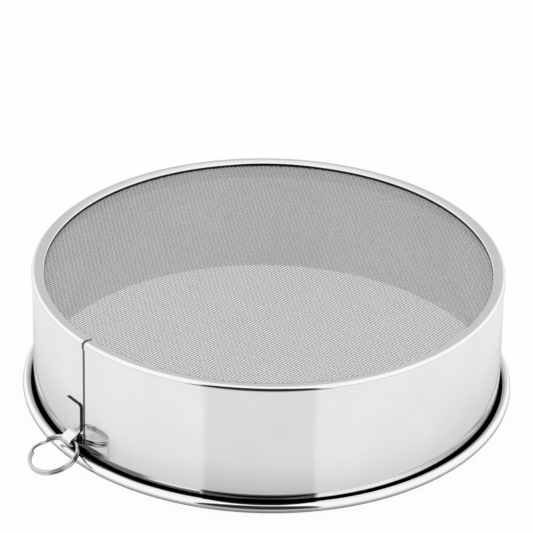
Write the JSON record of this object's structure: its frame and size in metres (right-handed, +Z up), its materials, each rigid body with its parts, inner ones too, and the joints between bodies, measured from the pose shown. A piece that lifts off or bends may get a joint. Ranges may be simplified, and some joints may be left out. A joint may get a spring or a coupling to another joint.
{
  "type": "tamis drum sieve",
  "caption": "Shallow stainless drum sieve with fine woven wire mesh, a rolled base edge and a hanging ring on a small wall strap.",
  "frame": {"origin": "on the drum's axis, in the plane of the surface that its rolled base stands on", "axes": "+Z up along the drum's axis, towards the mesh; the picture looks along +Y; the hanging ring is at azimuth -142 degrees from +X"},
  "size_m": [0.22, 0.22, 0.0594],
  "materials": {
    "hoop_steel": "polished stainless steel strip",
    "mesh_steel": "plain woven stainless wire",
    "inner_ring_steel": "satin stainless steel strip",
    "strap_steel": "polished stainless steel strip",
    "ring_steel": "bright nickel-coloured steel wire"
  },
  "bodies": {
    "drum": {"drum_hoop": "hoop_steel", "mesh_cloth": "mesh_steel", "retaining_ring": "inner_ring_steel", "hanger_strap": "strap_steel"},
    "hanging_ring": {"split_ring": "ring_steel"}
  },
  "joints": [
    {"name": "ring_swing", "type": "hinge", "parent": "drum", "child": "hanging_ring", "pos_m": [-0.08467, -0.06615, 0.008], "axis": [-0.6157, 0.788, 0], "range_deg": [0, 108]}
  ]
}
